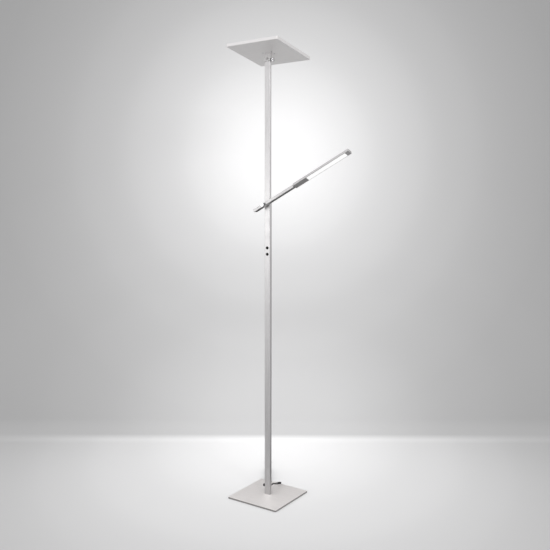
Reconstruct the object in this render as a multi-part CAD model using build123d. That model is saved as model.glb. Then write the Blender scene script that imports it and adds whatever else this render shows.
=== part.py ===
from build123d import *
import os
from math import atan2, cos, degrees, pi, radians, sin, sqrt, tan

# Torchiere floor lamp with a reading light. Millimetres, +Z up, +X along the post's wide face,
# +Y to the rear, where the mains lead leaves. The origin is the centre of the base, on the floor.

# ---- driving dimensions ----
BASE_SIDE = 238.0
BASE_THICK = 6.5
BASE_CORNER = 5.0
BASE_EDGE = 0.7
BASE_LIFT = 1.5
PAD_INSET = 6.0

POST_WIDTH = 26.0
POST_DEPTH = 14.0
POST_WALL = 1.5
POST_CORNER = 1.8
UPPER_DEPTH = 10.5
UPPER_WALL = 1.2
SEAM_HEIGHT = 1216.0
HINGE_HEIGHT = 1768.0
PIVOT_DROP = 12.0

HEAD_SIDE = 238.0
HEAD_THICK = 12.0
HEAD_CORNER = 3.0
HEAD_WALL = 1.5
HEAD_TILT = 8.7
HINGE_TO_HEAD = 26.7
DIFFUSER_THICK = 2.5

ARM_ANGLE = 27.2
ARM_WIDTH = 22.0
ARM_THICK = 11.0
ARM_WALL = 1.5
ARM_CORNER = 1.2
ARM_TAIL = 54.0
ARM_REACH = 155.5
ARM_STAND_OFF = 5.0
LIGHT_ROLL = 29.1
LIGHT_LENGTH = 268.5
NECK_LENGTH = 66.0
TIP_LENGTH = 16.9
LIGHT_RIM = 2.0
LIGHT_BACK = 1.8

BUTTON_DROP = 184.5
BUTTON_SPACING = 25.5
BUTTON_DIA = 12.0
BUTTON_PROUD = 1.5
BUTTON_TRAVEL = 0.8

KNOB_DIA = 16.0
KNOB_THICK = 6.0
KNOB_TEETH = 36
KNOB_TOOTH = 0.4
BOLT_DIA = 6.0

SPIGOT_HEIGHT = 56.0
LEAD_HEIGHT = 39.0
CLAMP_HEIGHT = 42.0
CLAMP_KNOB_DIA = 11.0
CLAMP_KNOB_LENGTH = 8.0

CORD_DIA = 5.4
RELIEF_LENGTH = 20.0
HANK_TURNS = 4
HANK_RUN = 106.0
HANK_TURN_RADIUS = 10.8
HANK_STEP = 6.0
HANK_START = 154.5
HANK_AZIMUTH = 34.8
TIE_THICK = 0.8
TIE_WIDTH = 9.0

# ---- named clearances ----
FIT = 0.15  # a plug or block in a tube, on each side
RUN = 0.08  # a turning shaft in its hole, on the radius
SCREW_FIT = 0.1  # a screw in its hole, on the radius
GAP = 0.3  # between faces that slide or turn past each other
SEAT = 0.5  # between the two ends of the arm's swivel

# ---- places that follow from them ----
BASE_TOP = BASE_LIFT + BASE_THICK
PIVOT_HEIGHT = SEAM_HEIGHT - PIVOT_DROP
BUTTON_HEIGHTS = (SEAM_HEIGHT - BUTTON_DROP, SEAM_HEIGHT - BUTTON_DROP - BUTTON_SPACING)
FRONT = -POST_DEPTH / 2
REAR = POST_DEPTH / 2
BORE_WIDTH = POST_WIDTH - 2 * POST_WALL
BORE_DEPTH = POST_DEPTH - 2 * POST_WALL
UPPER_BORE_WIDTH = POST_WIDTH - 2 * UPPER_WALL
UPPER_BORE_DEPTH = UPPER_DEPTH - 2 * UPPER_WALL
UPPER_MIDDLE = FRONT + UPPER_DEPTH / 2
COLLAR = 1.2
UPPER_START = SEAM_HEIGHT + COLLAR
TONGUE_RADIUS = UPPER_DEPTH / 2
UPPER_END = HINGE_HEIGHT - TONGUE_RADIUS - 2 * GAP - COLLAR
ARM_MIDDLE = FRONT - ARM_STAND_OFF - ARM_WIDTH / 2
LIGHT_START = ARM_REACH + SEAT
LIGHT_END = LIGHT_START + LIGHT_LENGTH
LIGHT_WIDTH = ARM_WIDTH
LIGHT_THICK = ARM_THICK
WINDOW_LENGTH = LIGHT_LENGTH - NECK_LENGTH - TIP_LENGTH
WINDOW_START = LIGHT_START + NECK_LENGTH
WINDOW_END = WINDOW_START + WINDOW_LENGTH
HEAD_AT = Location((0, UPPER_MIDDLE, HINGE_HEIGHT), (-HEAD_TILT, 0, 0))
ARM_AT = Location((0, ARM_MIDDLE, PIVOT_HEIGHT), (0, -ARM_ANGLE, 0))
LIGHT_AT = ARM_AT * Location((0, 0, 0), (-LIGHT_ROLL, 0, 0))


# ---- shapes that more than one piece uses ----
def block(x0, x1, y0, y1, z0, z1):
    """A box between two corners."""
    return Pos((x0 + x1) / 2, (y0 + y1) / 2, (z0 + z1) / 2) * Box(x1 - x0, y1 - y0, z1 - z0)


def upright(width, depth, corner, z0, z1, y=0.0):
    """A prism of rounded rectangular section that stands along Z."""
    return extrude(Pos(0, y, z0) * RectangleRounded(width, depth, corner), z1 - z0)


def level(width, thick, corner, x0, x1):
    """A prism of rounded rectangular section that lies along X, width along Y."""
    section = Plane((x0, 0, 0), x_dir=(0, 1, 0), z_dir=(1, 0, 0)) * RectangleRounded(width, thick, corner)
    return extrude(section, x1 - x0)


def rod_x(radius, x0, x1, y=0.0, z=0.0):
    return Pos((x0 + x1) / 2, y, z) * Rot(0, 90, 0) * Cylinder(radius, x1 - x0)


def rod_y(radius, y0, y1, x=0.0, z=0.0):
    return Pos(x, (y0 + y1) / 2, z) * Rot(90, 0, 0) * Cylinder(radius, y1 - y0)


def rod_z(radius, z0, z1, x=0.0, y=0.0):
    return Pos(x, y, (z0 + z1) / 2) * Cylinder(radius, z1 - z0)


def countersunk(dia, head_dia, length, grow=0.0, socket=True):
    """A flat-headed screw, or its hole: the head's flat is at z = 0 and the shank runs down."""
    cone = (head_dia - dia) / 2
    edge = 0.3
    head = Pos(0, 0, -edge - cone / 2) * Cone(dia / 2 + grow, head_dia / 2 + grow, cone)
    rim = rod_z(head_dia / 2 + grow, -edge, 0)
    screw = head + rim + rod_z(dia / 2 + grow, -length, -edge - cone)
    if socket:
        screw -= extrude(RegularPolygon(dia * 0.32, 6), -dia * 0.4)
    return screw


def knurled(dia, thick, teeth=KNOB_TEETH, tooth=KNOB_TOOTH):
    """A round knob with a toothed edge and eased faces, from z = 0 to z = thick."""
    points = []
    for i in range(2 * teeth):
        radius = dia / 2 - tooth * (i % 2)
        points.append((radius * cos(pi * i / teeth), radius * sin(pi * i / teeth)))
    body = extrude(make_face(Polyline(*points, close=True)), thick)
    ease = 0.6
    rim = dia / 2
    sides = [(0, 0), (rim - ease, 0), (rim, ease), (rim, thick - ease), (rim - ease, thick), (0, thick)]
    return body & revolve(Plane.XZ * make_face(Polyline(*sides, close=True)), Axis.Z)


def washer(outer, inner, thick):
    """A flat ring from z = 0 up."""
    return rod_z(outer, 0, thick) - rod_z(inner, 0, thick)


# ---- base ----
def base_pad():
    """The thin sheet under the plate, which keeps it off the floor and covers the screws."""
    side = BASE_SIDE - 2 * PAD_INSET
    return upright(side, side, BASE_CORNER, 0, BASE_LIFT)


SPIGOT_SCREW_DIA = 5.0
SPIGOT_SCREW_HEAD = 9.6
SPIGOT_SCREW_LENGTH = 18.0
SPIGOT_SCREW_X = 6.2


def spigot_screw_places():
    return [Pos(x, 0, BASE_LIFT) * Rot(180, 0, 0) for x in (-SPIGOT_SCREW_X, SPIGOT_SCREW_X)]


def spigot_screws():
    screw = countersunk(SPIGOT_SCREW_DIA, SPIGOT_SCREW_HEAD, SPIGOT_SCREW_LENGTH)
    return [place * screw for place in spigot_screw_places()]


def base_plate():
    plate = upright(BASE_SIDE, BASE_SIDE, BASE_CORNER, BASE_LIFT, BASE_TOP)
    plate = fillet(plate.edges().group_by(Axis.Z)[-1], BASE_EDGE)
    hole = countersunk(SPIGOT_SCREW_DIA, SPIGOT_SCREW_HEAD, SPIGOT_SCREW_LENGTH, SCREW_FIT, socket=False)
    for place in spigot_screw_places():
        plate -= place * hole
    return plate


CLAMP_STUD_DIA = 5.0
CLAMP_STUD_REACH = 8.2
SPIGOT_SLOT = 11.0
SPIGOT_SLOT_START = 20.0


def base_spigot():
    """The block inside the post's foot, slotted at the rear so that the lead can turn up."""
    width = BORE_WIDTH - 2 * FIT
    depth = BORE_DEPTH - 2 * FIT
    top = BASE_TOP + SPIGOT_HEIGHT
    spigot = upright(width, depth, 0.6, BASE_TOP, top)
    spigot = chamfer(spigot.edges().group_by(Axis.Z)[-1], 0.5)
    web = depth * 0.3
    slot = SPIGOT_SLOT / 2
    spigot -= block(-slot, slot, -depth / 2 + web, depth, BASE_TOP + SPIGOT_SLOT_START, top + 1)
    for place in spigot_screw_places():
        spigot -= place * rod_z(SPIGOT_SCREW_DIA / 2 + SCREW_FIT, -SPIGOT_SCREW_LENGTH - 1, 0)
    return spigot - rod_x(CLAMP_STUD_DIA / 2 + RUN, -width, 0, 0, CLAMP_HEIGHT)


def post_clamp_screw():
    """The black thumbscrew that holds the post on the spigot, on the left narrow side."""
    seat = -POST_WIDTH / 2 - GAP
    collar = 1.0
    knob = knurled(CLAMP_KNOB_DIA, CLAMP_KNOB_LENGTH, 24, 0.35)
    knob = Pos(seat - collar, 0, CLAMP_HEIGHT) * Rot(0, -90, 0) * knob
    neck = rod_x(CLAMP_STUD_DIA / 2 + 1.2, seat - collar, seat, 0, CLAMP_HEIGHT)
    stud = rod_x(CLAMP_STUD_DIA / 2, seat - collar, -CLAMP_STUD_REACH, 0, CLAMP_HEIGHT)
    return knob + neck + stud


# ---- post ----
RELIEF_NECK = 4.6
RELIEF_FLANGE = 5.6


def lower_post():
    bore = upright(BORE_WIDTH, BORE_DEPTH, 0.5, BASE_TOP, SEAM_HEIGHT)
    tube = upright(POST_WIDTH, POST_DEPTH, POST_CORNER, BASE_TOP, SEAM_HEIGHT) - bore
    tube -= rod_x(CLAMP_STUD_DIA / 2 + FIT, -POST_WIDTH, 0, 0, CLAMP_HEIGHT)
    tube -= rod_y(RELIEF_NECK + SCREW_FIT, 0, POST_DEPTH, 0, LEAD_HEIGHT)
    tube -= rod_y(BOLT_DIA / 2 + FIT, -POST_DEPTH, 0, 0, PIVOT_HEIGHT)
    for height in BUTTON_HEIGHTS:
        tube -= rod_y(BUTTON_DIA / 2 + FIT, -POST_DEPTH, 0, 0, height)
    return tube - Pos(0, REAR, LOWER_SCREW_HEIGHT) * Rot(-90, 0, 0) * joiner_hole()


def upper_post():
    bore = upright(UPPER_BORE_WIDTH, UPPER_BORE_DEPTH, 0.5, UPPER_START, UPPER_END, UPPER_MIDDLE)
    tube = upright(POST_WIDTH, UPPER_DEPTH, POST_CORNER, UPPER_START, UPPER_END, UPPER_MIDDLE) - bore
    rear = FRONT + UPPER_DEPTH
    for height in (UPPER_SCREW_HEIGHT, INSERT_SCREW_HEIGHT):
        tube -= Pos(0, rear, height) * Rot(-90, 0, 0) * joiner_hole()
    return tube


JOINER_SCREW_DIA = 3.0
JOINER_SCREW_HEAD = 5.2
JOINER_SCREW_LENGTH = 5.0
JOINER_LEG = 40.0
LOWER_SCREW_HEIGHT = SEAM_HEIGHT - JOINER_LEG * 0.75
UPPER_SCREW_HEIGHT = UPPER_START + JOINER_LEG * 0.5
INSERT_LEG = 24.0
INSERT_SCREW_HEIGHT = UPPER_END - INSERT_LEG / 2
LOOM_X = 7.5
LOOM_DIA = 3.6


def upper_plug(z0, z1):
    """A block that fits the bore of the upper tube."""
    return upright(UPPER_BORE_WIDTH - 2 * FIT, UPPER_BORE_DEPTH - 2 * FIT, 0.6, z0, z1, UPPER_MIDDLE)


def joiner_hole():
    return countersunk(JOINER_SCREW_DIA, JOINER_SCREW_HEAD, JOINER_SCREW_LENGTH, SCREW_FIT, socket=False)


def joiner_screw():
    return countersunk(JOINER_SCREW_DIA, JOINER_SCREW_HEAD, JOINER_SCREW_LENGTH)


def joiner_screws():
    rear = FRONT + UPPER_DEPTH
    places = [Pos(0, REAR, LOWER_SCREW_HEIGHT), Pos(0, rear, UPPER_SCREW_HEIGHT)]
    return [place * Rot(-90, 0, 0) * joiner_screw() for place in places]


def insert_screw():
    return Pos(0, FRONT + UPPER_DEPTH, INSERT_SCREW_HEIGHT) * Rot(-90, 0, 0) * joiner_screw()


def post_joiner():
    """The block that joins the two tubes, caps the step between them and holds the arm's bolt."""
    leg = upright(BORE_WIDTH - 2 * FIT, BORE_DEPTH - 2 * FIT, 0.6, SEAM_HEIGHT - JOINER_LEG, SEAM_HEIGHT)
    collar = upright(POST_WIDTH, POST_DEPTH, POST_CORNER, SEAM_HEIGHT, UPPER_START)
    joiner = leg + collar + upper_plug(UPPER_START, UPPER_START + JOINER_LEG)
    joiner -= rod_y(BOLT_DIA / 2 + RUN, -POST_DEPTH, BORE_DEPTH / 2 - 2, 0, PIVOT_HEIGHT)
    ends = (SEAM_HEIGHT - JOINER_LEG, UPPER_START + JOINER_LEG)
    joiner -= rod_z(LOOM_DIA / 2 + FIT, *ends, LOOM_X, UPPER_MIDDLE)
    joiner -= Pos(0, REAR, LOWER_SCREW_HEIGHT) * Rot(-90, 0, 0) * joiner_hole()
    joiner -= Pos(0, FRONT + UPPER_DEPTH, UPPER_SCREW_HEIGHT) * Rot(-90, 0, 0) * joiner_hole()
    return joiner


# ---- tilt hinge ----
TONGUE_WIDTH = 8.8
CHEEK_GAP = 10.8
TILT_WASHER_THICK = 0.7
TILT_WASHER_DIA = 10.0
SLOT_ROOF = 9.0
BRACKET_FLANGE = (54.0, 34.0, 3.0)
BRACKET_SCREW_DIA = 4.0
BRACKET_SCREW_HEAD = 7.2
BRACKET_SCREW_LENGTH = 4.4
BRACKET_SCREW_X = 20.0
BRACKET_SCREW_Y = 11.0
KNOB_STEM_DIA = 8.0
KNOB_STEM = 7.7
KNOB_WASHER_DIA = 12.0
KNOB_WASHER_THICK = 0.8


def hinge_insert():
    """The plug in the top of the post with the round-topped tongue that the head hangs its fork on."""
    leg = upper_plug(UPPER_END - INSERT_LEG, UPPER_END)
    collar = upright(POST_WIDTH, UPPER_DEPTH, POST_CORNER, UPPER_END, UPPER_END + COLLAR, UPPER_MIDDLE)
    half = TONGUE_WIDTH / 2
    tongue = block(-half, half, FRONT, FRONT + UPPER_DEPTH, UPPER_END + COLLAR, HINGE_HEIGHT)
    tongue += rod_x(TONGUE_RADIUS, -half, half, UPPER_MIDDLE, HINGE_HEIGHT)
    insert = leg + collar + tongue
    insert -= rod_x(BOLT_DIA / 2 + RUN, -POST_WIDTH, POST_WIDTH, UPPER_MIDDLE, HINGE_HEIGHT)
    return insert - Pos(0, FRONT + UPPER_DEPTH, INSERT_SCREW_HEIGHT) * Rot(-90, 0, 0) * joiner_hole()


def bracket_screw_places():
    turned = Pos(0, 0, HINGE_TO_HEAD) * Rot(180, 0, 0)
    return [
        Pos(x, y, 0) * turned
        for x in (-BRACKET_SCREW_X, BRACKET_SCREW_X)
        for y in (-BRACKET_SCREW_Y, BRACKET_SCREW_Y)
    ]


def tilt_bracket():
    """The fork that the torchiere head stands on: two round-ended cheeks and a flange in the tray."""
    floor = HINGE_TO_HEAD + HEAD_WALL
    half = UPPER_DEPTH / 2
    fork = block(-POST_WIDTH / 2, POST_WIDTH / 2, -half, half, 0, floor)
    fork += rod_x(half, -POST_WIDTH / 2, POST_WIDTH / 2)
    fork -= block(-CHEEK_GAP / 2, CHEEK_GAP / 2, -UPPER_DEPTH, UPPER_DEPTH, -UPPER_DEPTH, SLOT_ROOF)
    width, depth, thick = BRACKET_FLANGE
    fork += upright(width, depth, 4.0, floor, floor + thick)
    fork -= rod_x(BOLT_DIA / 2 + RUN, -POST_WIDTH, POST_WIDTH)
    hole = countersunk(BRACKET_SCREW_DIA, BRACKET_SCREW_HEAD, HEAD_WALL + thick + 1, SCREW_FIT, socket=False)
    for place in bracket_screw_places():
        fork -= place * hole
    return HEAD_AT * fork


def bracket_screws():
    screw = countersunk(BRACKET_SCREW_DIA, BRACKET_SCREW_HEAD, BRACKET_SCREW_LENGTH)
    return [HEAD_AT * place * screw for place in bracket_screw_places()]


def tilt_bolt():
    head_start = -POST_WIDTH / 2 - GAP
    head = rod_x(5.0, head_start - 3.0, head_start)
    head = fillet(head.edges().group_by(Axis.X)[0], 1.0)
    bolt_end = POST_WIDTH / 2 + 2 * GAP + KNOB_WASHER_THICK + KNOB_STEM + KNOB_THICK * 0.5
    bolt = head + rod_x(BOLT_DIA / 2, head_start, bolt_end)
    return Pos(0, UPPER_MIDDLE, HINGE_HEIGHT) * bolt


def tilt_washers():
    """Two friction rings between the tongue and the fork's cheeks."""
    ring = washer(TILT_WASHER_DIA / 2, BOLT_DIA / 2 + RUN, TILT_WASHER_THICK)
    start = TONGUE_WIDTH / 2 + 0.1
    centre = Pos(0, UPPER_MIDDLE, HINGE_HEIGHT)
    return [centre * Pos(side * start, 0, 0) * Rot(0, side * 90, 0) * ring for side in (1, -1)]


def knob_washer():
    """The black ring under the tilt knob."""
    ring = washer(KNOB_WASHER_DIA / 2, BOLT_DIA / 2 + RUN, KNOB_WASHER_THICK)
    return Pos(POST_WIDTH / 2 + GAP, UPPER_MIDDLE, HINGE_HEIGHT) * Rot(0, 90, 0) * ring


def tilt_knob():
    stem_start = POST_WIDTH / 2 + 2 * GAP + KNOB_WASHER_THICK
    stem_end = stem_start + KNOB_STEM
    knob = rod_x(KNOB_STEM_DIA / 2, stem_start, stem_end)
    knob += Pos(stem_end, 0, 0) * Rot(0, 90, 0) * knurled(KNOB_DIA, KNOB_THICK)
    knob -= rod_x(BOLT_DIA / 2 + RUN, stem_start - 1, stem_end + KNOB_THICK * 0.7)
    return Pos(0, UPPER_MIDDLE, HINGE_HEIGHT) * knob


# ---- torchiere head, in its own frame: the hinge is the origin and +Z leaves through the lit face ----
FLOOR_TOP = HINGE_TO_HEAD + HEAD_WALL
RIM_TOP = HINGE_TO_HEAD + HEAD_THICK
DIFFUSER_TOP = RIM_TOP - 0.2
DIFFUSER_BOTTOM = DIFFUSER_TOP - DIFFUSER_THICK
TRAY_INSIDE = HEAD_SIDE - 2 * HEAD_WALL
FRAME_WIDTH = 5.0
SPREADER_SIDE = 204.0
SPREADER_THICK = 2.0
SPREADER_HOLE = 2.0  # around the bracket's flange
LED_BAR = (188.0, 13.0, 1.6)
LED_PITCH = 15.0
LED_SIZE = (3.5, 2.8, 0.8)
LED_BAR_PLACES = (-80.0, -48.0, 48.0, 80.0)
SPREADER_SCREW_PLACE = 96.0


def head_tray():
    tray = upright(HEAD_SIDE, HEAD_SIDE, HEAD_CORNER, HINGE_TO_HEAD, RIM_TOP)
    tray = chamfer(tray.edges().group_by(Axis.Z)[0], 0.5)
    tray -= upright(TRAY_INSIDE, TRAY_INSIDE, HEAD_CORNER - HEAD_WALL, FLOOR_TOP, RIM_TOP)
    x, y = POST_WIDTH / 2 + FIT, UPPER_DEPTH / 2 + FIT
    tray -= block(-x, x, -y, y, 0, FLOOR_TOP)
    hole = countersunk(BRACKET_SCREW_DIA, BRACKET_SCREW_HEAD, BRACKET_SCREW_LENGTH, SCREW_FIT, socket=False)
    for place in bracket_screw_places():
        tray -= place * hole
    return HEAD_AT * tray


def spreader_screw_places():
    reach = SPREADER_SCREW_PLACE
    return [(x, y) for x in (-reach, reach) for y in (-reach, reach)]


def heat_spreader():
    plate = upright(SPREADER_SIDE, SPREADER_SIDE, 4.0, FLOOR_TOP, FLOOR_TOP + SPREADER_THICK)
    width, depth, _ = BRACKET_FLANGE
    grow = 2 * SPREADER_HOLE
    plate -= upright(width + grow, depth + grow, 5.0, FLOOR_TOP, FLOOR_TOP + SPREADER_THICK)
    for x, y in spreader_screw_places():
        plate -= rod_z(1.5 + SCREW_FIT, FLOOR_TOP, FLOOR_TOP + SPREADER_THICK, x, y)
    return HEAD_AT * plate


def spreader_screws():
    top = FLOOR_TOP + SPREADER_THICK
    screw = rod_z(1.5, FLOOR_TOP, top) + fillet(rod_z(2.9, top, top + 1.8).edges().group_by(Axis.Z)[-1], 0.7)
    return [HEAD_AT * Pos(x, y, 0) * screw for x, y in spreader_screw_places()]


def chip(x, z):
    """One light-emitting diode, from z up."""
    long, wide, high = LED_SIZE
    return block(x - long / 2, x + long / 2, -wide / 2, wide / 2, z, z + high)


def led_bars():
    """Four boards of light-emitting diodes that lie on the heat spreader."""
    length, width, thick = LED_BAR
    base = FLOOR_TOP + SPREADER_THICK
    count = int(length // LED_PITCH)
    bar = block(-length / 2, length / 2, -width / 2, width / 2, base, base + thick)
    for i in range(count):
        x = (i - (count - 1) / 2) * LED_PITCH
        bar += chip(x, base + thick)
    return [HEAD_AT * Pos(0, y, 0) * bar for y in LED_BAR_PLACES]


def diffuser_frame():
    """The ring inside the rim that the lit panel lies on."""
    outer = TRAY_INSIDE - 2 * FIT
    ring = upright(outer, outer, HEAD_CORNER - HEAD_WALL, FLOOR_TOP, DIFFUSER_BOTTOM)
    inner = outer - 2 * FRAME_WIDTH
    return HEAD_AT * (ring - upright(inner, inner, 1.0, FLOOR_TOP, DIFFUSER_BOTTOM))


def head_diffuser():
    side = TRAY_INSIDE - 2 * FIT
    panel = upright(side, side, HEAD_CORNER - HEAD_WALL, DIFFUSER_BOTTOM, DIFFUSER_TOP)
    return HEAD_AT * chamfer(panel.edges().group_by(Axis.Z)[-1], 0.4)


# ---- inside the lower post ----
DRIVER_SIZE = (20.0, 9.4, 168.0)
DRIVER_START = BASE_TOP + SPIGOT_HEIGHT
BUTTONS_MIDDLE = sum(BUTTON_HEIGHTS) / 2
CARRIER_HALF = 43.0
CARRIER_START = BUTTONS_MIDDLE - CARRIER_HALF
CARRIER_END = BUTTONS_MIDDLE + CARRIER_HALF
BUTTON_FLANGE = 14.2
BUTTON_FLANGE_THICK = 0.8
FLANGE_ROOM = 2.5
BOARD_FRONT = 0.4
BOARD_THICK = 1.6
BOARD_SIZE = (17.0, 72.0)
SWITCH_SIDE = 6.0
SWITCH_TOP = -2.4


def led_driver():
    width, depth, height = DRIVER_SIZE
    return upright(width, depth, 1.5, DRIVER_START, DRIVER_START + height)


def driver_loom():
    return rod_z(2.0, DRIVER_START + DRIVER_SIZE[2], CARRIER_START)


def head_loom():
    return rod_z(LOOM_DIA / 2, CARRIER_END, UPPER_END - INSERT_LEG, LOOM_X, UPPER_MIDDLE)


def button_carrier():
    """The block behind the front wall that guides both buttons and holds the dimmer board."""
    front = -BORE_DEPTH / 2 + 0.1
    depth = BORE_DEPTH - 2 * FIT
    carrier = upright(BORE_WIDTH - 2 * FIT, depth, 0.6, CARRIER_START, CARRIER_END)
    board_x, board_z = BOARD_SIZE
    carrier -= block(
        -board_x / 2 - FIT, board_x / 2 + FIT, BOARD_FRONT, depth,
        BUTTONS_MIDDLE - board_z / 2 - FIT, BUTTONS_MIDDLE + board_z / 2 + FIT,
    )
    for height in BUTTON_HEIGHTS:
        carrier -= rod_y(BUTTON_FLANGE / 2 + FIT, -depth, front + FLANGE_ROOM, 0, height)
        half = SWITCH_SIDE / 2 + FIT
        carrier -= block(-half, half, front, BOARD_FRONT, height - half, height + half)
    return carrier


def control_board():
    """The dimmer board with one push switch behind each button."""
    board_x, board_z = BOARD_SIZE
    board = block(
        -board_x / 2, board_x / 2, BOARD_FRONT, BOARD_FRONT + BOARD_THICK,
        BUTTONS_MIDDLE - board_z / 2, BUTTONS_MIDDLE + board_z / 2,
    )
    half = SWITCH_SIDE / 2
    body_front = SWITCH_TOP + 1.0
    for height in BUTTON_HEIGHTS:
        board += block(-half, half, body_front, BOARD_FRONT, height - half, height + half)
        board += rod_y(1.7, SWITCH_TOP, body_front, 0, height)
    return board


def button(height):
    """A cap through the front wall, with a flange behind it and a stem that reaches the switch."""
    flange_front = -BORE_DEPTH / 2 + GAP
    flange_back = flange_front + BUTTON_FLANGE_THICK
    cap = rod_y(BUTTON_DIA / 2, FRONT - BUTTON_PROUD, flange_front, 0, height)
    cap = fillet(cap.edges().group_by(Axis.Y)[0], 0.7)
    cap += rod_y(BUTTON_FLANGE / 2, flange_front, flange_back, 0, height)
    return cap + rod_y(1.8, flange_back, SWITCH_TOP - BUTTON_TRAVEL - 0.2, 0, height)


# ---- arm's pivot ----
BOSS_DIA = 16.0
PIVOT_WASHER_DIA = 14.0
PIVOT_WASHER_THICK = 0.7
BUSH_DIA = 8.0
ARM_COLLAR_DIA = 10.0
ARM_COLLAR = 2.0
ARM_REAR = ARM_MIDDLE + ARM_WIDTH / 2
ARM_FRONT = ARM_MIDDLE - ARM_WIDTH / 2
BOSS_END = ARM_REAR + GAP + PIVOT_WASHER_THICK
FRONT_WASHER_START = ARM_FRONT - GAP
ARM_KNOB_START = FRONT_WASHER_START - PIVOT_WASHER_THICK - GAP


def at_pivot(y, shape, towards_rear=False):
    """A shape made along +Z, set on the arm's bolt at y; it points forwards unless told otherwise."""
    return Pos(0, y, PIVOT_HEIGHT) * Rot(-90 if towards_rear else 90, 0, 0) * shape


def pivot_boss():
    boss = washer(BOSS_DIA / 2, BOLT_DIA / 2 + RUN, FRONT - BOSS_END)
    return at_pivot(FRONT, fillet(boss.edges().filter_by(GeomType.CIRCLE).sort_by(SortBy.RADIUS)[-1], 0.5))


def pivot_washers():
    ring = washer(PIVOT_WASHER_DIA / 2, BOLT_DIA / 2 + RUN, PIVOT_WASHER_THICK)
    return [at_pivot(BOSS_END, ring), at_pivot(FRONT_WASHER_START, ring)]


def pivot_bolt():
    end = ARM_KNOB_START - ARM_COLLAR - KNOB_THICK * 0.5
    return rod_y(BOLT_DIA / 2, end, BORE_DEPTH / 2 - 3, 0, PIVOT_HEIGHT)


def arm_knob():
    knob = rod_z(ARM_COLLAR_DIA / 2, 0, ARM_COLLAR) + Pos(0, 0, ARM_COLLAR) * knurled(KNOB_DIA, KNOB_THICK)
    knob -= rod_z(BOLT_DIA / 2 + RUN, -1, ARM_COLLAR + KNOB_THICK * 0.7)
    return at_pivot(ARM_KNOB_START, knob)


# ---- reading arm, in its own frame: the pivot is the origin and +X runs to the light ----
CAP_THICK = 2.0
CAP_LEG = 8.0
SWIVEL_LEG = 20.0
SWIVEL_DIA = 7.0
SWIVEL_LENGTH = 20.0
GROOVE_AT = 11.0
GROOVE_WIDTH = 3.6
GROOVE_DEPTH = 0.8
SET_SCREW_DIA = 3.0
ARM_TUBE_START = CAP_THICK - ARM_TAIL
ARM_TUBE_END = ARM_REACH - CAP_THICK


def arm_inside(x0, x1, clearance):
    width = ARM_WIDTH - 2 * ARM_WALL - 2 * clearance
    thick = ARM_THICK - 2 * ARM_WALL - 2 * clearance
    return level(width, thick, 0.5, x0, x1)


def arm_bar():
    tube = level(ARM_WIDTH, ARM_THICK, ARM_CORNER, ARM_TUBE_START, ARM_TUBE_END)
    tube -= arm_inside(ARM_TUBE_START, ARM_TUBE_END, 0)
    return ARM_AT * (tube - rod_y(BUSH_DIA / 2 + RUN, -ARM_WIDTH, ARM_WIDTH))


def arm_bush():
    bush = rod_y(BUSH_DIA / 2, -ARM_WIDTH / 2, ARM_WIDTH / 2)
    return ARM_AT * (bush - rod_y(BOLT_DIA / 2 + RUN, -ARM_WIDTH, ARM_WIDTH))


def arm_tail_cap():
    cap = level(ARM_WIDTH, ARM_THICK, ARM_CORNER, -ARM_TAIL, ARM_TUBE_START)
    cap = fillet(cap.faces().sort_by(Axis.X)[0].edges(), 0.8)
    return ARM_AT * (cap + arm_inside(ARM_TUBE_START, ARM_TUBE_START + CAP_LEG, FIT))


def arm_swivel_plug():
    """Closes the bar's end and carries the grooved spigot that the light turns on."""
    plug = arm_inside(ARM_TUBE_END - SWIVEL_LEG, ARM_TUBE_END, FIT)
    plug += level(ARM_WIDTH, ARM_THICK, ARM_CORNER, ARM_TUBE_END, ARM_REACH)
    plug += rod_x(SWIVEL_DIA / 2, ARM_REACH, ARM_REACH + SWIVEL_LENGTH)
    groove = ARM_REACH + GROOVE_AT
    ring = rod_x(SWIVEL_DIA, groove, groove + GROOVE_WIDTH)
    return ARM_AT * (plug - (ring - rod_x(SWIVEL_DIA / 2 - GROOVE_DEPTH, groove, groove + GROOVE_WIDTH)))


def arm_lead():
    return ARM_AT * rod_x(1.5, BUSH_DIA / 2 + RUN + 0.2, ARM_TUBE_END - SWIVEL_LEG)


# ---- reading light, in the arm's frame rolled about the arm: the lit face looks along -Z ----
CHANNEL_WIDTH = LIGHT_WIDTH - 2 * LIGHT_RIM
CHANNEL_ROOF = LIGHT_THICK / 2 - LIGHT_BACK
LIGHT_FACE = -LIGHT_THICK / 2
CHANNEL_START = LIGHT_START + CAP_THICK
CHANNEL_END = LIGHT_END - CAP_THICK
STRIP_THICK = 1.2
STRIP_CHIPS = 22
READING_DIFFUSER_THICK = 2.6
SET_SCREW_X = ARM_REACH + GROOVE_AT + GROOVE_WIDTH / 2


def reading_housing():
    """A channel that is open along its lit face and at both ends."""
    body = level(LIGHT_WIDTH, LIGHT_THICK, 1.0, CHANNEL_START, CHANNEL_END)
    half = CHANNEL_WIDTH / 2
    body -= block(CHANNEL_START, CHANNEL_END, -half, half, -LIGHT_THICK, CHANNEL_ROOF)
    return LIGHT_AT * body


def channel_fill(x0, x1):
    half = CHANNEL_WIDTH / 2 - FIT
    return block(x0, x1, -half, half, LIGHT_FACE, CHANNEL_ROOF - FIT)


def reading_neck():
    neck = level(LIGHT_WIDTH, LIGHT_THICK, 1.0, LIGHT_START, CHANNEL_START)
    neck = chamfer(neck.faces().sort_by(Axis.X)[0].edges(), 0.5)
    neck += channel_fill(CHANNEL_START, WINDOW_START)
    neck -= rod_x(SWIVEL_DIA / 2 + RUN, LIGHT_START - 1, ARM_REACH + SWIVEL_LENGTH + 1)
    neck -= rod_z(SET_SCREW_DIA / 2 + RUN, LIGHT_FACE - 1, 0, SET_SCREW_X)
    return LIGHT_AT * neck


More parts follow.
